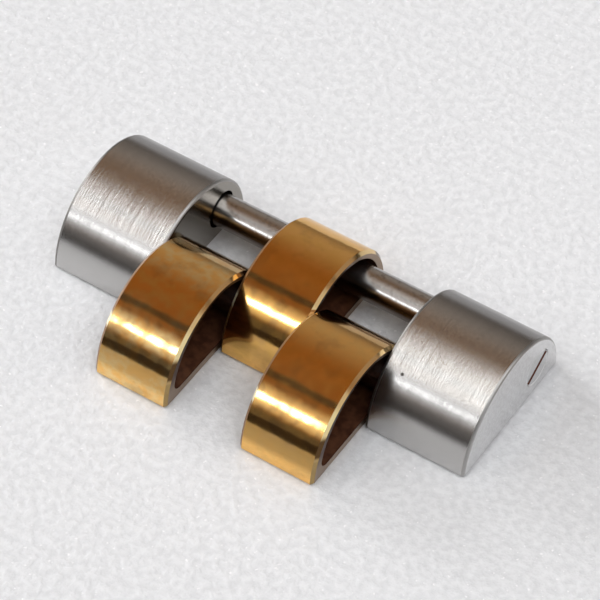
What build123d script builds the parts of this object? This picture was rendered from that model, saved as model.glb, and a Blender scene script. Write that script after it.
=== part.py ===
# One removable row of a five-column watch bracelet, in millimetres.
# Two solid steel outer links stand on each side of a hollow gold middle link.
# Two hollow gold intermediate links are hinged in the gaps between them and
# reach forward to the next row of the bracelet.
# X runs across the wrist, Y along the bracelet towards the row behind, Z up
# through the crown. The origin is on the underside, at the middle link's centre.

import os
from math import sqrt

from build123d import *

# Widths of the links across the wrist
outer_link_width = 3.85
intermediate_link_width = 2.90
middle_link_width = 2.80
side_play = 0.05

# The half-round section that all five links share
crown_radius = 3.03
edge_round = 0.12

# Length of the bracelet that one row takes up
row_gap = 0.12

# Pins, with their axes above the underside
pin_height = 1.19
pin_radius = 0.60
pin_chamfer = 0.12

# Fits, as gaps all round
hinge_clearance = 0.04
slide_clearance = 0.02

# Hollow gold links: a shell, thickest at its feet, with a web across its middle
foot_wall = 0.45
crown_wall = 0.23
floor_wall = 0.40
shell_corner_round = 0.13
rim_chamfer = 0.11
web_thickness = 0.80
pocket_corner_round = 0.35

# Screw pin: slotted head on the right, threaded tip on the left
head_radius = 0.68
head_length = 0.80
head_inset = 0.01
head_chamfer = 0.03
slot_width = 0.22
slot_depth = 0.34
slot_tilt = 32
tip_radius = 0.50
tip_length = 1.90
tip_end_gap = 0.15
tip_chamfer = 0.14
relief_radius = 0.71
relief_depth = 0.90
shoulder_gap = 0.04

# Pressed pin at the front
press_depth = 2.60
press_end_gap = 0.10

# How far every cutting tool runs past the metal
overrun = 0.50

# Places worked out from the sizes above
row_pitch = 2 * crown_radius + row_gap
pin_offset = row_pitch / 4
intermediate_center = -2 * pin_offset
intermediate_x = middle_link_width / 2 + side_play + intermediate_link_width / 2
inner_face = intermediate_x + intermediate_link_width / 2 + side_play
outer_face = inner_face + outer_link_width
outer_link_x = (inner_face + outer_face) / 2


def half_round(radius, underside, corner_round):
    """A half-round face in the plane across X, cut level at the underside's height."""
    half = sqrt(radius**2 - underside**2)
    back = ThreePointArc((half, underside), (0, radius), (-half, underside))
    face = make_face([back, Line((-half, underside), (half, underside))])
    return Plane.YZ * fillet(face.vertices(), corner_round)


def rod(start, end, radius, center_y):
    """A round bar along X, between two places, on a pin's axis."""
    middle = Pos((start + end) / 2, center_y, pin_height)
    return middle * Rot(0, 90, 0) * Cylinder(radius, end - start)


def link_bar(width, corner_round):
    """A length of half-round bar across the bracelet, centred on X."""
    face = half_round(crown_radius, 0, corner_round)
    return extrude(face, width / 2, both=True)


def rims(bar):
    """The edges round both ends of a bar."""
    return bar.faces().filter_by(Axis.X).edges()


def outer_blank():
    """Solid steel bar for an outer link, with rounded rims."""
    bar = link_bar(outer_link_width, edge_round)
    return fillet(rims(bar), edge_round)


def outer_link_left():
    """Solid steel link that holds the screw pin's tip and one end of the pressed pin."""
    link = Pos(-outer_link_x, 0, 0) * outer_blank()
    mouth = -inner_face + overrun
    relief_end = -inner_face - relief_depth
    tapped_end = relief_end - shoulder_gap - tip_length - tip_end_gap
    press_end = -inner_face - press_depth - press_end_gap
    link -= rod(relief_end, mouth, relief_radius, pin_offset)
    link -= rod(tapped_end, mouth, tip_radius + slide_clearance, pin_offset)
    link -= rod(press_end, mouth, pin_radius, -pin_offset)
    return link


def outer_link_right():
    """Solid steel link that seats the screw pin's head and the pressed pin's other end."""
    link = Pos(outer_link_x, 0, 0) * outer_blank()
    mouth = inner_face - overrun
    beyond = outer_face + overrun
    seat = outer_face - head_inset - head_length - shoulder_gap
    press_end = inner_face + press_depth + press_end_gap
    link -= rod(mouth, beyond, pin_radius + slide_clearance, pin_offset)
    link -= rod(seat, beyond, head_radius + slide_clearance, pin_offset)
    link -= rod(mouth, press_end, pin_radius, -pin_offset)
    return link


def hollow_link(width):
    """Gold link with bevelled rims, hollowed from both sides, and a web that holds two pins."""
    rise = foot_wall - crown_wall
    pocket = half_round(crown_radius - foot_wall, floor_wall - rise, pocket_corner_round)
    pocket_depth = (width - web_thickness) / 2
    bore_radius = pin_radius + hinge_clearance
    web_end = web_thickness / 2 + pocket_depth / 2
    bar = link_bar(width, shell_corner_round)
    link = chamfer(rims(bar), rim_chamfer)
    for side in (-1, 1):
        hollow = extrude(pocket, pocket_depth + overrun)
        if side < 0:
            hollow = mirror(hollow, Plane.YZ)
        link -= Pos(side * web_thickness / 2, 0, rise) * hollow
        link -= rod(-web_end, web_end, bore_radius, side * pin_offset)
    return link


def screw_pin():
    """Removable pin at the back: threaded tip, long plain shank and slotted head."""
    tip_start = -inner_face - relief_depth
    head_end = outer_face - head_inset
    head_start = head_end - head_length
    tip_end = tip_start - tip_length
    tip = rod(tip_end, tip_start + overrun, tip_radius, pin_offset)
    tip = chamfer(tip.edges().group_by(Axis.X)[0], tip_chamfer)
    shank = rod(tip_start + shoulder_gap, head_start + overrun, pin_radius, pin_offset)
    head = rod(head_start, head_end, head_radius, pin_offset)
    head = chamfer(head.edges().group_by(Axis.X)[-1], head_chamfer)
    slot_length = 2 * head_radius + overrun
    slot = Box(2 * slot_depth, slot_length, slot_width)
    head -= Pos(head_end, pin_offset, pin_height) * Rot(slot_tilt, 0, 0) * slot
    return tip + shank + head


def front_pin():
    """Plain pin pressed into both outer links, on which the intermediate links swing."""
    end = inner_face + press_depth
    pin = rod(-end, end, pin_radius, -pin_offset)
    ends = pin.edges().group_by(Axis.X)
    return chamfer(ends[0] + ends[-1], pin_chamfer)


intermediate = Pos(0, intermediate_center, 0) * hollow_link(intermediate_link_width)

nodes = {
    "outer_link_left": outer_link_left(),
    "outer_link_right": outer_link_right(),
    "middle_link": hollow_link(middle_link_width),
    "intermediate_link_left": Pos(-intermediate_x, 0, 0) * intermediate,
    "intermediate_link_right": Pos(intermediate_x, 0, 0) * intermediate,
    "screw_pin": screw_pin(),
    "front_pin": front_pin(),
}

os.makedirs("parts", exist_ok=True)
for name, shape in nodes.items():
    export_step(shape, f"parts/{name}.step")

print(f"row width {2 * outer_face:.2f}, link length {2 * crown_radius:.2f}, pitch {row_pitch:.3f}")
print(f"pins at y {pin_offset:.3f} and {-pin_offset:.3f}, z {pin_height:.2f}")
print(f"next row's pin at y {intermediate_center - pin_offset:.3f}")
print(f"webs at x {intermediate_x:.2f} either side, {web_thickness:.2f} thick")
print(f"screw pin's tip at x {-inner_face - relief_depth - tip_length:.2f}")
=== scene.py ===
# %% [markdown]
# A removable row of a watch bracelet, dressed for its portrait.
#
# The row is five short links side by side on two steel pins. The two outer
# links are solid steel with a satin finish. The three inner links are hollow
# gold with a worn polish. The shapes come from the part's own model, so this
# script gives them their finishes, lays them on a pale table and lights them
# with a soft studio light.

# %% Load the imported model
from math import cos, pi, radians, sin, sqrt

import bmesh
import bpy
from mathutils import Matrix, Vector


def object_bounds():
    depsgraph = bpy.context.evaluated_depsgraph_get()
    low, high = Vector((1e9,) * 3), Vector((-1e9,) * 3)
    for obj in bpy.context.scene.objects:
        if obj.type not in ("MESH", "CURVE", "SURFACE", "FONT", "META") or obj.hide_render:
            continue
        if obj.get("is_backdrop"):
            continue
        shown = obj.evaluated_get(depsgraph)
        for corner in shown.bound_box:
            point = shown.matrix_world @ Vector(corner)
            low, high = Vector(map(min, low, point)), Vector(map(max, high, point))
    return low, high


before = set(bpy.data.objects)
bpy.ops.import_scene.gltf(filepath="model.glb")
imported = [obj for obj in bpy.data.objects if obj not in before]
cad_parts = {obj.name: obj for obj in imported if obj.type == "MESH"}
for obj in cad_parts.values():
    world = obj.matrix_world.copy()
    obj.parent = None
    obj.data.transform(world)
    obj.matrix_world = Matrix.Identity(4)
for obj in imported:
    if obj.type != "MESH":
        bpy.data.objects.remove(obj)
model_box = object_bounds()
MM = 0.001


def in_mm(places):
    """Places as rounded millimetres, for printing."""
    return [[round(number / MM, 2) for number in place] for place in places]


print("nodes:", ", ".join(sorted(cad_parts)))
print("box in mm:", in_mm(model_box))

# %% [markdown]
# The camera stands in front of the row and to its right, about 118 mm away, and
# looks down at 49 degrees. Its angles were found by fitting the straight edges
# and arcs of the five links. A long lens keeps the links nearly parallel. A
# constraint could aim it, but that leaves no room for the camera's small roll,
# so it is placed by three directions: right, up and back.

# %% Place the camera
view_azimuth = radians(31.39)
view_elevation = radians(48.67)
view_roll = radians(2.30)
view_distance = 117.7 * MM
view_aim_right = -0.10 * MM
view_aim_up = 0.48 * MM
pixels_per_mm = 29.384
frame_pixels = 600
sensor_width = 36
lens_length = sensor_width * pixels_per_mm * view_distance / MM / frame_pixels

back = Vector((
    sin(view_azimuth) * cos(view_elevation),
    -cos(view_azimuth) * cos(view_elevation),
    sin(view_elevation),
))
level_right = Vector((cos(view_azimuth), sin(view_azimuth), 0))
level_up = back.cross(level_right)
right = cos(view_roll) * level_right + sin(view_roll) * level_up
up = -sin(view_roll) * level_right + cos(view_roll) * level_up

camera_data = bpy.data.cameras.new("portrait_camera")
camera_data.sensor_width = sensor_width
camera_data.lens = lens_length
camera_data.clip_start = 5 * MM
camera_data.clip_end = 10000 * MM
camera = bpy.data.objects.new("portrait_camera", camera_data)
bpy.context.scene.collection.objects.link(camera)
place = view_aim_right * right + view_aim_up * up + view_distance * back
camera.matrix_world = Matrix.Translation(place) @ Matrix((right, up, back)).transposed().to_4x4()
bpy.context.scene.camera = camera
print("camera in mm:", in_mm([place]), "lens in mm:", round(lens_length, 1))

# %% [markdown]
# Finishes are drawn by nodes, and node maths is easier to read as sums. This
# small class holds one wire of a node tree. Python's operators on wires add the
# Math nodes, and the one method called node adds any other kind of node.

# %% A wire that takes part in sums
class Wire:
    """One output in a node tree. Operators on it add Math nodes to the same tree."""

    def __init__(self, tree, output=None):
        self.tree = tree
        self.output = output

    def node(self, kind, settings=None, inputs=None, output=0):
        """Adds a node, sets its settings first and then the values or wires of its sockets."""
        made = self.tree.nodes.new(kind)
        for name, value in (settings or {}).items():
            setattr(made, name, value)
        for name, value in (inputs or {}).items():
            if isinstance(value, Wire):
                self.tree.links.new(value.output, made.inputs[name])
            else:
                made.inputs[name].default_value = value
        return Wire(self.tree, made.outputs[output] if made.outputs else None)

    def maths(self, operation, first, second=0.0):
        return self.node("ShaderNodeMath", {"operation": operation}, {0: first, 1: second})

    def __add__(self, other):
        return self.maths("ADD", self, other)

    def __radd__(self, other):
        return self.maths("ADD", other, self)

    def __sub__(self, other):
        return self.maths("SUBTRACT", self, other)

    def __rsub__(self, other):
        return self.maths("SUBTRACT", other, self)

    def __mul__(self, other):
        return self.maths("MULTIPLY", self, other)

    def __rmul__(self, other):
        return self.maths("MULTIPLY", other, self)

    def __abs__(self):
        return self.maths("ABSOLUTE", self)

    def ramp(self, low, high):
        """0 below low, 1 above high, and a smooth rise between them."""
        limits = {"Value": self, "From Min": low, "From Max": high}
        return self.node("ShaderNodeMapRange", {"interpolation_type": "SMOOTHSTEP"}, limits)

    def band(self, low, high, soft):
        """1 between low and high, with soft edges, and 0 elsewhere."""
        return self.ramp(low - soft, low) * (1 - self.ramp(high, high + soft))

    def mix(self, first, second):
        """The colour first where the wire is 0 and second where it is 1."""
        return self.node("ShaderNodeMix", {"data_type": "RGBA"}, {0: self, 6: first, 7: second}, 2)

    def split(self):
        """The wires of a vector's three numbers."""
        parts = self.node("ShaderNodeSeparateXYZ", None, {0: self}).output.node
        return [Wire(self.tree, output) for output in parts.outputs]


print("wires can be added, subtracted and multiplied")

# %% [markdown]
# A polished link mirrors the room round it, so the room matters as much as the
# metal. It could be a picture of a studio, but a room written by direction puts
# each highlight just where it belongs. Two numbers say a direction. Across is
# the ray's part along the pins, from -1 on the left to 1 on the right. Pitch is
# the angle that it turns round the pins: 0 level to the front, 90 straight up
# and 180 level to the back. Every highlight on a half-round link is then a
# stripe of one pitch.

# %% Directions in the room
world = bpy.data.worlds.new("studio_room")
bpy.context.scene.world = world
world.use_nodes = True
world.node_tree.nodes.clear()
room = Wire(world.node_tree)
across, ray_y, ray_z = room.node("ShaderNodeTexCoord", None, None, "Generated").split()
degrees = 180 / pi
pitch = room.maths("ARCTAN2", ray_z, -1 * ray_y) * degrees
print("a ray's direction is its across and its pitch")

# %% [markdown]
# The links mirror a narrow strip of the room to the camera. There the ceiling is
# dim and warm, with a dark edge, the walls behind are grey, and a window's glow
# lies low in front. The rest is in shade, apart from the window and a reflector
# on the left, a panel overhead, and a wall, a bluish window and a dim corner on
# the right. Each is a mask and a colour, painted over the ones before it.

# %% Light from the room
def painted(colour, *layers):
    """A colour, with each layer of a mask and a colour painted over it in turn."""
    for mask, paint in layers:
        colour = mask.mix(colour, paint)
    return colour


low_ceiling = (0.19, 0.075, 0.014, 1)
warm_ceiling = (0.25, 0.12, 0.04, 1)
back_wall = (0.40, 0.34, 0.29, 1)
far_wall = (0.25, 0.22, 0.20, 1)
ceiling_edge = (0.03, 0.014, 0.006, 1)
shade = (0.05, 0.04, 0.03, 1)
window_light = (3.1, 3.1, 3.1, 1)
reflector_light = (3.5, 3.55, 3.5, 1)
window_glow = (1.05, 1.05, 1.05, 1)
right_wall = (0.5, 0.5, 0.5, 1)
right_window = (0.80, 0.90, 1.00, 1)
right_glow = (0.63, 0.60, 0.59, 1)
right_ceiling = (0.31, 0.21, 0.15, 1)
right_corner = (0.36, 0.28, 0.23, 1)
overhead_light = (2.3, 2.3, 2.35, 1)
window_sill = (0.14, 0.13, 0.12, 1)

glow_place = pitch.ramp(12, 29) * (1 - pitch.ramp(35, 54))
window_place = (-1 * across).ramp(0.42, 0.55) * pitch.ramp(30, 48) * (1 - pitch.ramp(62, 100))
reflector_place = across.band(-0.21, -0.05, 0.06) * pitch.ramp(38, 52) * (1 - pitch.ramp(68, 116))
overhead_place = across.band(0.14, 0.56, 0.06) * pitch.band(60, 108, 8)

right_side = painted(
    right_window,
    (pitch.ramp(48, 80), right_glow),
    (pitch.ramp(102, 120), right_ceiling),
)
colour = painted(
    low_ceiling,
    (pitch.ramp(66, 100), warm_ceiling),
    (pitch.ramp(100, 158), back_wall),
    (pitch.ramp(158, 180), far_wall),
    (pitch.band(61, 66, 4), ceiling_edge),
    (glow_place, window_glow),
    (1 - across.band(-0.44, -0.26, 0.06), shade),
    (across.ramp(0.50, 0.65) * (1 - pitch.ramp(60, 85)), right_wall),
    (1 - pitch.ramp(12, 20), window_sill),
    (across.ramp(0.80, 0.86), right_side),
    (across.ramp(0.52, 0.60) * pitch.ramp(128, 140), right_corner),
    (window_place, window_light),
    (reflector_place, reflector_light),
    (overhead_place, overhead_light),
)
light = room.node("ShaderNodeBackground", None, {"Color": colour, "Strength": 1.0})
room.node("ShaderNodeOutputWorld", None, {"Surface": light})
print("room lit by direction")

# %% [markdown]
# Three lamps finish the light. Two soft panels hang behind the row, one to its
# right and one to its left. They light the table and leave soft shadows under
# the front edges. A narrow bright panel in front gives the polished gold its
# white line. Each panel aims at the row, and its power is worked out from the
# brightness wanted on its face.

# %% Hang the lamps
lamp_distance = 600 * MM


def hang_panel(name, across_part, pitch_angle, width, length, brightness):
    """A soft panel that looks at the row from the given across and pitch."""
    lamp_data = bpy.data.lights.new(name, "AREA")
    lamp_data.shape = "RECTANGLE"
    lamp_data.size = width
    lamp_data.size_y = length
    lamp_data.energy = brightness * pi * width * length
    lamp = bpy.data.objects.new(name, lamp_data)
    bpy.context.scene.collection.objects.link(lamp)
    rest = sqrt(1 - across_part**2)
    raised = radians(pitch_angle)
    towards = Vector((across_part, -rest * cos(raised), rest * sin(raised)))
    turned = towards.to_track_quat("Z", "Y").to_matrix().to_4x4()
    lamp.matrix_world = Matrix.Translation(lamp_distance * towards) @ turned
    lamp.visible_camera = False
    print(name, "in mm:", in_mm([lamp_distance * towards]))


hang_panel(
    "right_panel", across_part=0.56, pitch_angle=118,
    width=380 * MM, length=360 * MM, brightness=1.2,
)
hang_panel(
    "left_panel", across_part=-0.92, pitch_angle=122,
    width=240 * MM, length=240 * MM, brightness=10.0,
)
hang_panel(
    "window_strip", across_part=-0.345, pitch_angle=32.5,
    width=36 * MM, length=72 * MM, brightness=14.0,
)

# %% [markdown]
# The table is a large flat sheet, just under the row, with a fine grain like
# smooth leather. The sheet is a single square face, because nothing about it is
# curved. The grain could be cut into the mesh, but it is finer than the camera
# can follow, so it is a bump and a slight change of colour. A few brighter
# specks are painted on it as painted glints of the grain.

# %% Lay the table
def add_sheet(name, width, length, place):
    """A level rectangle, centred on a place, that belongs to the stage."""
    mesh = bpy.data.meshes.new(name)
    shape = bmesh.new()
    bmesh.ops.create_grid(shape, x_segments=1, y_segments=1, size=0.5)
    bmesh.ops.scale(shape, verts=shape.verts, vec=(width, length, 1))
    bmesh.ops.transform(shape, verts=shape.verts, matrix=place)
    shape.to_mesh(mesh)
    shape.free()
    sheet = bpy.data.objects.new(name, mesh)
    bpy.context.scene.collection.objects.link(sheet)
    sheet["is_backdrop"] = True
    return sheet


table_side = 1200 * MM
table_drop = 0.002 * MM
table = add_sheet("table", table_side, table_side, Matrix.Translation((0, 0, -table_drop)))
print("table is", round(table_side / MM), "mm square")

# %% [markdown]
# Each finish is a material that starts with an empty node tree. A few helpers
# add what most finishes share: soft random cells, a bump, the Principled shader
# and the output. Cells are counted to the metre: at 1000, each is 1 mm wide.

# %% Finish the table
def new_material(name):
    """A material with an empty node tree, and a wire to start its nodes from."""
    material = bpy.data.materials.new(name)
    material.use_nodes = True
    material.node_tree.nodes.clear()
    return material, Wire(material.node_tree)


def noise(spot, cells, detail):
    """Soft random cells, so many to the metre. More detail adds finer ones."""
    return spot.node("ShaderNodeTexNoise", None, {"Vector": spot, "Scale": cells, "Detail": detail})


def bump(height, distance):
    """Tilts a surface as if it rose by the distance where the height is 1."""
    return height.node(
        "ShaderNodeBump",
        None,
        {"Height": height, "Distance": distance, "Strength": 1.0},
    )


def principled(start, sockets):
    """The Principled shader, with values or wires for its sockets."""
    return start.node("ShaderNodeBsdfPrincipled", None, sockets)


def show(surface):
    """Makes a shader the surface that its material shows."""
    surface.node("ShaderNodeOutputMaterial", None, {"Surface": surface})


table_dark = (0.75, 0.76, 0.78, 1)
table_light = (0.85, 0.86, 0.88, 1)
# painted glints: the brighter specks stand in for the grain catching the light
table_glint_speck = (0.98, 0.98, 1.0, 1)
material, start = new_material("pale_table")
spot = start.node("ShaderNodeTexCoord", None, None, "Object")
grain = noise(spot, cells=3500, detail=3.0)
glint_specks = noise(spot, cells=5500, detail=2.0)
show(principled(start, {
    "Base Color": painted(
        table_dark,
        (grain.ramp(0.30, 0.70), table_light),
        # painted glints on the grain
        (glint_specks.ramp(0.65, 0.74), table_glint_speck),
    ),
    "Roughness": 0.35,
    "Specular IOR Level": 1.0,
    "Normal": bump(grain, distance=0.06 * MM),
}))
table.data.materials.append(material)
print("table finished")

# %% [markdown]
# Photographers stand a black card beside polished metal, just outside the
# picture, to give its reflections a dark edge. Here a low card stands in front
# and darkens the bands just above the feet. It is hidden from the camera and
# shows in the reflections alone.

# %% Stand the black card
card_left = -30 * MM
card_right = 6 * MM
card_front = -17.5 * MM
card_height = 3.0 * MM
card_black = (0.06, 0.05, 0.045, 1)
middle = Vector(((card_left + card_right) / 2, card_front, card_height / 2))
upright = Matrix.Translation(middle) @ Matrix.Rotation(pi / 2, 4, "X")
card = add_sheet("black_card", card_right - card_left, card_height, upright)
card.visible_camera = False
card.visible_shadow = False
card.visible_diffuse = False
material, start = new_material("black_card")
show(start.node("ShaderNodeBsdfDiffuse", None, {"Color": card_black}))
card.data.materials.append(material)
print("card stands in front, in mm:", in_mm([middle]))

# %% [markdown]
# Satin steel is brushed with a fine abrasive, in one direction. The scratches
# run round the link, so they spread a reflection sideways and leave it crisp
# along the curve. The shader's own anisotropy could do that, but it needs a UV
# map, which the model's links don't have. So the bump is a noise squeezed
# across the link and stretched along it, which does the same.

# %% Brushing, and where the pin's head lies
def squeezed_noise(spot, cells, detail):
    """Noise with its own number of cells to the metre along each axis."""
    squeezed = spot.node("ShaderNodeMapping", None, {"Vector": spot, "Scale": cells})
    return noise(squeezed, cells=1.0, detail=detail)


def box_of(name):
    """The lowest and the highest corner of the box round a node."""
    columns = list(zip(*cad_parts[name].bound_box))
    return Vector([min(column) for column in columns]), Vector([max(column) for column in columns])


pin_low, pin_high = box_of("screw_pin")
pin_middle = (pin_low + pin_high) / 2
head_end = pin_high.x


def pin_radius_at(spot):
    """How far each place lies from the screw pin's axis."""
    _, y, z = spot.split()
    rise, run = z - pin_middle.z, y - pin_middle.y
    return spot.maths("SQRT", rise * rise + run * run)


def dress(material, *names):
    """Puts a material on the named nodes, in place of the one that they came with."""
    for name in names:
        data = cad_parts[name].data
        data.materials.clear()
        data.materials.append(material)
    print(material.name, "on", ", ".join(names))


print("screw pin's box in mm:", in_mm([pin_low, pin_high]))

# %% [markdown]
# The steel's tone follows the place. The crown is streaked, and painted darker
# towards the rear, as painted shade. Below the shoulder at the front it is
# painted a little darker, with a darker line at its top, as painted shade. The
# outer ends are pale. The ends that face the gold are painted dark, as painted
# shade between the links, and so are the rounded rims, the left ones most, which
# dims their glints. The rim of the screw's hole is painted pale, as painted
# light that hides the dark gap round the head. One small pit is left from a
# knock.

# %% Satin steel for the outer links
crown_dark = (0.57, 0.56, 0.55, 1)
crown_light = (0.69, 0.68, 0.67, 1)
# painted shade: the low front and the line at its top are painted darker
low_front_shaded_steel = (0.51, 0.50, 0.49, 1)
line_shaded_steel = (0.46, 0.455, 0.45, 1)
# painted shade: the crown is painted darker behind the pin and darker still at the rear
behind_shaded_steel = (0.285, 0.275, 0.265, 1)
rear_shaded_steel = (0.205, 0.197, 0.193, 1)
end_dark = (0.62, 0.61, 0.61, 1)
end_light = (0.74, 0.74, 0.735, 1)
# painted shade: the ends that face the gold are painted dark
inner_end_shaded_steel = (0.29, 0.27, 0.24, 1)
# painted shade: the rims are painted darker to dim their glints, the left ones most
left_rim_shaded_steel = (0.24, 0.23, 0.22, 1)
right_rim_shaded_steel = (0.42, 0.41, 0.40, 1)
pit_steel = (0.10, 0.09, 0.085, 1)
# painted light: the rim of the screw's hole is painted pale to hide the dark gap round the head
hole_rim_painted_light = (0.9, 0.9, 0.9, 1)
pit_place = Vector((5.13, -2.03, 2.25)) * MM

material, start = new_material("satin_steel")
spot = start.node("ShaderNodeTexCoord", None, None, "Object")
x, y, z = spot.split()
facing_x = start.node("ShaderNodeNewGeometry", None, None, "Normal").split()[0]
sideways = abs(facing_x)
brushing = squeezed_noise(spot, cells=(150000, 400, 400), detail=1.0)
streaks = squeezed_noise(spot, cells=(40000, 8000, 8000), detail=2.0)
streaky = streaks.ramp(0.3, 0.7)
from_pit = start.node(
    "ShaderNodeVectorMath", {"operation": "DISTANCE"}, {0: spot, 1: pit_place}, "Value",
)

front = 1 - y.ramp(-1.0 * MM, -0.5 * MM)
# painted shade: masks of the darker low front and its darker line
low_front_shade = front * (1 - z.ramp(2.00 * MM, 2.20 * MM))
front_shade_line = front * z.band(1.98 * MM, 2.14 * MM, 0.12 * MM)
# painted shade: masks of the darker crown behind the pin and at the rear
behind_shade = y.ramp(0, 1.2 * MM)
rear_shade = y.ramp(1.3 * MM, 1.8 * MM)
end = sideways.ramp(0.86, 0.98)
# painted shade between the links, on the ends that face the gold
inner_end_shade = (-1 * facing_x * x).ramp(1 * MM, 3 * MM)
# painted shade on the rims, darker on the left
rim = sideways.band(0.12, 0.86, 0.08)
pit = 1 - from_pit.ramp(0.03 * MM, 0.09 * MM)
near_head_end = x.ramp(head_end - 0.3 * MM, head_end - 0.2 * MM)
# painted light in the gap round the screw's head
hole_rim_light = (1 - pin_radius_at(spot).ramp(0.70 * MM, 0.71 * MM)) * near_head_end

steel = painted(
    streaky.mix(crown_dark, crown_light),
    (low_front_shade, low_front_shaded_steel),
    (front_shade_line, line_shaded_steel),
    (behind_shade, behind_shaded_steel),
    (rear_shade, rear_shaded_steel),
    (end, inner_end_shade.mix(streaky.mix(end_dark, end_light), inner_end_shaded_steel)),
    (rim, facing_x.ramp(-0.2, 0.2).mix(left_rim_shaded_steel, right_rim_shaded_steel)),
    (pit, pit_steel),
    (hole_rim_light, hole_rim_painted_light),
)
show(principled(start, {
    "Base Color": steel,
    "Metallic": 1 - 0.9 * hole_rim_light,
    "Roughness": 0.18 + 0.07 * streaks + 0.24 * rim,
    "Normal": bump(brushing, distance=0.0012 * MM),
}))
dress(material, "outer_link_left", "outer_link_right")

# %% [markdown]
# The gold's tone follows the place too, so the nodes first work out where a
# spot lies on its link: how far behind the middle, how far from the axis of the
# half-round, and how deep from the nearer end. Vertex colours could hold the
# tones, but the model's meshes have too few vertices for soft edges. The box
# round each link gives its middle and its ends.

# %% Places on a gold link
def places_on_link(spot, name):
    """Reach behind the middle, height, distance from the axis and depth from the nearer end."""
    low, high = box_of(name)
    middle = (low + high) / 2
    x, y, z = spot.split()
    reach = y - middle.y
    radius = spot.maths("SQRT", reach * reach + z * z)
    depth = (high.x - low.x) / 2 - abs(x - middle.x)
    return reach, z, radius, depth


link_radius = box_of("middle_link")[1].z
print("links' radius in mm:", round(link_radius / MM, 3))

# %% [markdown]
# Outside, the gold is polished, but it is old. Two golds lie in soft patches
# under brown clouds, and its front has small stains. A brown band is painted
# above the front foot, and one at the rear, as painted shade.

# %% Worn and shaded gold outside
deep_gold = (0.88, 0.51, 0.16, 1)
# painted shade: the brown of the bands above the front foot and at the rear
shade_brown = (0.10, 0.06, 0.02, 1)
cloud_brown = (0.50, 0.30, 0.12, 1)
stain_brown = (0.48, 0.29, 0.12, 1)


def worn_and_shaded_outside(spot, reach, height, patchy, clouds, wear_and_shade):
    """The colour of a link's outside. The last argument says how strong its bands of painted shade
    are.
    """
    stains = noise(spot, cells=2100, detail=1.5)
    # painted shade: where the bands above the front foot and at the rear lie
    above_foot_shade = height.band(0.80 * MM, 1.10 * MM, 0.40 * MM) * (1 - reach.ramp(0, 1 * MM))
    rear_shade = reach.ramp(1.0 * MM, 1.5 * MM)
    front = height.band(1.3 * MM, 2.4 * MM, 0.3 * MM) * (1 - reach.ramp(-1.6 * MM, -1.2 * MM))
    return painted(
        patchy.mix(deep_gold, wear_and_shade["pale_gold"]),
        (wear_and_shade["above_foot_shade"] * above_foot_shade + wear_and_shade["rear_shade"] * rear_shade, shade_brown),
        (0.4 * clouds.ramp(0.50, 0.72), cloud_brown),
        (0.5 * stains.ramp(0.45, 0.65) * front, stain_brown),
    )


print("tones of the outside ready")

# %% [markdown]
# The flat ends are dull, and painted darkest high at the front, as painted
# shade. The bevels between the ends and the outside catch the light. The right
# ones are bright gold, painted darker near the foot, as painted shade, and where
# a dark part of the room shows in them, as a painted reflection. The left ones
# are painted a dull brown, as painted shade, apart from one painted highlight at
# the front and one at the rear.

# %% Dull ends and bevelled rims
# painted shade: the ends are painted darkest high at the front
end_shade = (0.07, 0.035, 0.022, 1)
end_brown = (0.30, 0.22, 0.16, 1)
# painted shade: the left bevels are painted a dull brown
left_rim_shade_brown = (0.24, 0.12, 0.045, 1)
# painted highlight: a bright stretch on the left bevels
left_rim_painted_flare = (0.95, 0.85, 0.60, 1)
right_rim_gold = (0.86, 0.62, 0.30, 1)
# painted shade: the right bevels are painted darker near the foot
right_rim_foot_shade = (0.36, 0.25, 0.11, 1)
# painted reflection: a dark band on the right bevels, where a dark part of the room shows
right_rim_dark_reflection = (0.11, 0.06, 0.025, 1)


def ends_and_rims(facing_x, reach, height):
    """The masks of the ends and the left rim, and the layers that paint ends and rims."""
    end = abs(facing_x).ramp(0.85, 0.98)
    left_rim = (-1 * facing_x).band(0.3, 0.85, 0.1)
    right_rim = facing_x.band(0.3, 0.85, 0.1)
    # painted shade on the ends: 0 high at the front, where they are darkest
    less_shaded = 1 - height.ramp(0.5 * MM, 1.3 * MM) * (1 - reach.ramp(0.2 * MM, 1.2 * MM))
    # painted highlight: the height of the bright stretch on the left bevels
    flare = height.band(1.90 * MM, 2.10 * MM, 0.15 * MM)
    layers = (
        (end, less_shaded.mix(end_shade, end_brown)),
        (left_rim, flare.mix(left_rim_shade_brown, left_rim_painted_flare)),
        (right_rim, right_rim_gold),
        # painted shade on the right bevels near the foot
        (right_rim * (1 - height.ramp(1.0 * MM, 1.2 * MM)), right_rim_foot_shade),
        # painted reflection of a dark part of the room on the right bevels
        (right_rim * height.band(1.22 * MM, 1.70 * MM, 0.2 * MM), right_rim_dark_reflection),
    )
    return end, left_rim, layers


print("tones of the ends and rims ready")

# %% [markdown]
# The pockets are painted near black, as painted shade, rough so that they
# hardly shine. It isn't metal, so it is a second shader, mixed in where a spot
# lies under the shell, above the foot and in from the ends.

# %% Painted shade in the pockets
# painted shade: the near-black colours that line the pockets
pocket_shade_dark = (0.050, 0.016, 0.007, 1)
pocket_shade_light = (0.090, 0.034, 0.015, 1)


def with_pocket_shade(polish, patchy, height, radius, depth):
    """The polished surface, with painted shade in the link's pockets."""
    pocket_shade = principled(polish, {
        "Base Color": patchy.mix(pocket_shade_dark, pocket_shade_light),
        "Roughness": 0.6,
        "Specular IOR Level": 0.15,
    })
    # painted shade: where the pockets lie
    under_shell = 1 - radius.ramp(2.84 * MM, 2.92 * MM)
    above_foot_shade = height.ramp(0.30 * MM, 0.38 * MM)
    inside = under_shell * above_foot_shade * depth.ramp(0, 0.03 * MM)
    return polish.node("ShaderNodeMixShader", None, {0: inside, 1: polish, 2: pocket_shade})


print("grime ready")

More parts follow.
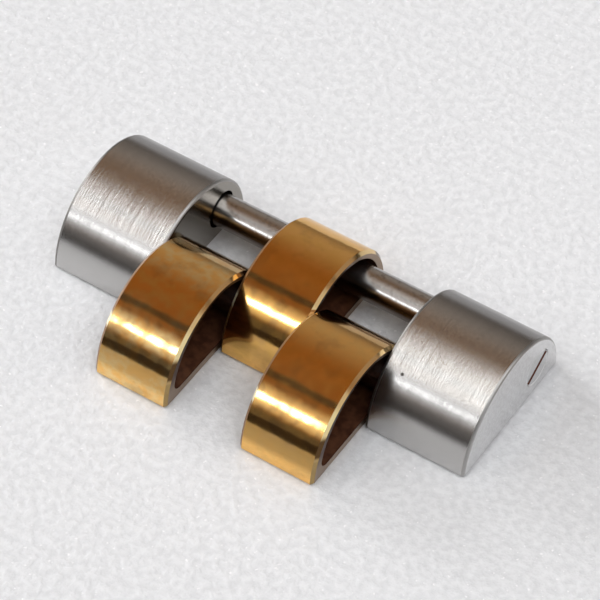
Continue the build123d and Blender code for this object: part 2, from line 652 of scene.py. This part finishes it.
# %% [markdown]
# Each gold link then gets a material of its own, because each has its own middle
# and its own wear and painted shade. Slow waves in the bump make the reflections
# swim a little.
# The middle link leans by about two degrees in its play. Its solid stays level,
# and a steady slope in the bump, the lean, tilts its reflections instead.

# %% Worn and shaded gold for the inner links
def worn_and_shaded_gold(name, wear_and_shade):
    """Gold for one link, worn and with painted shade outside, dull at its ends and painted with
    shade in its pockets.
    """
    material, start = new_material("worn_and_shaded_gold_" + name)
    spot = start.node("ShaderNodeTexCoord", None, None, "Object")
    facing_x = start.node("ShaderNodeNewGeometry", None, None, "Normal").split()[0]
    reach, height, radius, depth = places_on_link(spot, name)
    patchy = noise(spot, cells=2800, detail=3.0).ramp(0.35, 0.65)
    clouds = noise(spot, cells=1300, detail=4.0)
    waves = noise(spot, cells=1500, detail=1.0)
    end, left_rim, layers = ends_and_rims(facing_x, reach, height)
    arc_in_mm = start.maths("ARCTAN2", height, -1 * reach) * (link_radius / MM)
    polish = principled(start, {
        "Base Color": painted(worn_and_shaded_outside(spot, reach, height, patchy, clouds, wear_and_shade), *layers),
        "Metallic": 1 - 0.7 * left_rim,
        "Roughness": 0.09 + 0.05 * clouds + 0.25 * end + 0.3 * left_rim,
        "Normal": bump(0.008 * waves + wear_and_shade["lean"] * arc_in_mm, distance=MM),
    })
    show(with_pocket_shade(polish, patchy, height, radius, depth))
    return material


# per link: the strength of the bands of painted shade, the lean and the pale gold
gold_links = {
    "middle_link": {
        "above_foot_shade": 0.25, "rear_shade": 0, "lean": 0.04, "pale_gold": (0.84, 0.49, 0.14, 1),
    },
    "intermediate_link_left": {
        "above_foot_shade": 0.40, "rear_shade": 0.45, "lean": 0, "pale_gold": (0.84, 0.60, 0.27, 1),
    },
    "intermediate_link_right": {
        "above_foot_shade": 0.50, "rear_shade": 0.45, "lean": 0, "pale_gold": (0.84, 0.51, 0.17, 1),
    },
}
for name, wear_and_shade in gold_links.items():
    dress(worn_and_shaded_gold(name, wear_and_shade), name)

# %% [markdown]
# The pins are plain turned steel. Years of wear have left dark patches on their
# tops, and their undersides are painted dark, as painted shade. The screw's head
# is finished with the link round it, and the edge round the head is painted
# pale, as painted light that hides the gap, so only its slot shows, painted dark
# reddish as painted shade. The head's place is known from the pin's axis and its
# end.

# %% Worn and shaded steel for the pins
bare_steel = (0.475, 0.465, 0.455, 1)
patch_steel = (0.20, 0.17, 0.14, 1)
# painted shade: the undersides of the pins are painted dark
underside_shade = (0.14, 0.11, 0.09, 1)
# painted shade: the screw's slot is painted dark reddish
slot_shade = (0.20, 0.08, 0.055, 1)
face_steel = (0.60, 0.60, 0.595, 1)
# painted light: the edge round the screw's head is painted pale to hide the gap
edge_painted_light = (0.9, 0.9, 0.9, 1)

material, start = new_material("worn_and_shaded_pin_steel")
spot = start.node("ShaderNodeTexCoord", None, None, "Object")
x = spot.split()[0]
facing_x, _, facing_z = start.node("ShaderNodeNewGeometry", None, None, "Normal").split()
wear_and_shade = noise(spot, cells=6000, detail=4.0)
worn_patches = 0.35 * wear_and_shade.ramp(0.54, 0.66)
# painted shade under the pins
under = 1 - facing_z.ramp(0.35, 0.60)
inner = 1 - pin_radius_at(spot).ramp(0.64 * MM, 0.65 * MM)
# painted shade in the slot
slot = x.ramp(head_end - 0.38 * MM, head_end - 0.36 * MM) * inner
face = x.ramp(head_end - 0.05 * MM, head_end - 0.04 * MM) * facing_x.ramp(0.80, 0.95)
# painted light on the edge round the head
edge = x.ramp(head_end - 0.14 * MM, head_end - 0.12 * MM) * (1 - inner)
show(principled(start, {
    "Base Color": painted(
        bare_steel,
        (worn_patches, patch_steel),
        (under, underside_shade),
        (slot, slot_shade),
        (face, face_steel),
        (edge, edge_painted_light),
    ),
    "Metallic": 1 - 0.8 * (slot + edge) * (1 - face),
    "Roughness": 0.17 + 0.12 * wear_and_shade,
    "Normal": bump(wear_and_shade, distance=0.0015 * MM),
}))
dress(material, "screw_pin", "front_pin")

# %% [markdown]
# The Standard view shows each colour about as it is written. The box of the dressed
# model is printed, like the plain model's box at the start. They should agree,
# because a finish adds no thickness.

# %% Settings, and the dressed model's box
bpy.context.scene.view_settings.view_transform = "Standard"
dressed_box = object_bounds()
print("dressed box in mm:", in_mm(dressed_box))
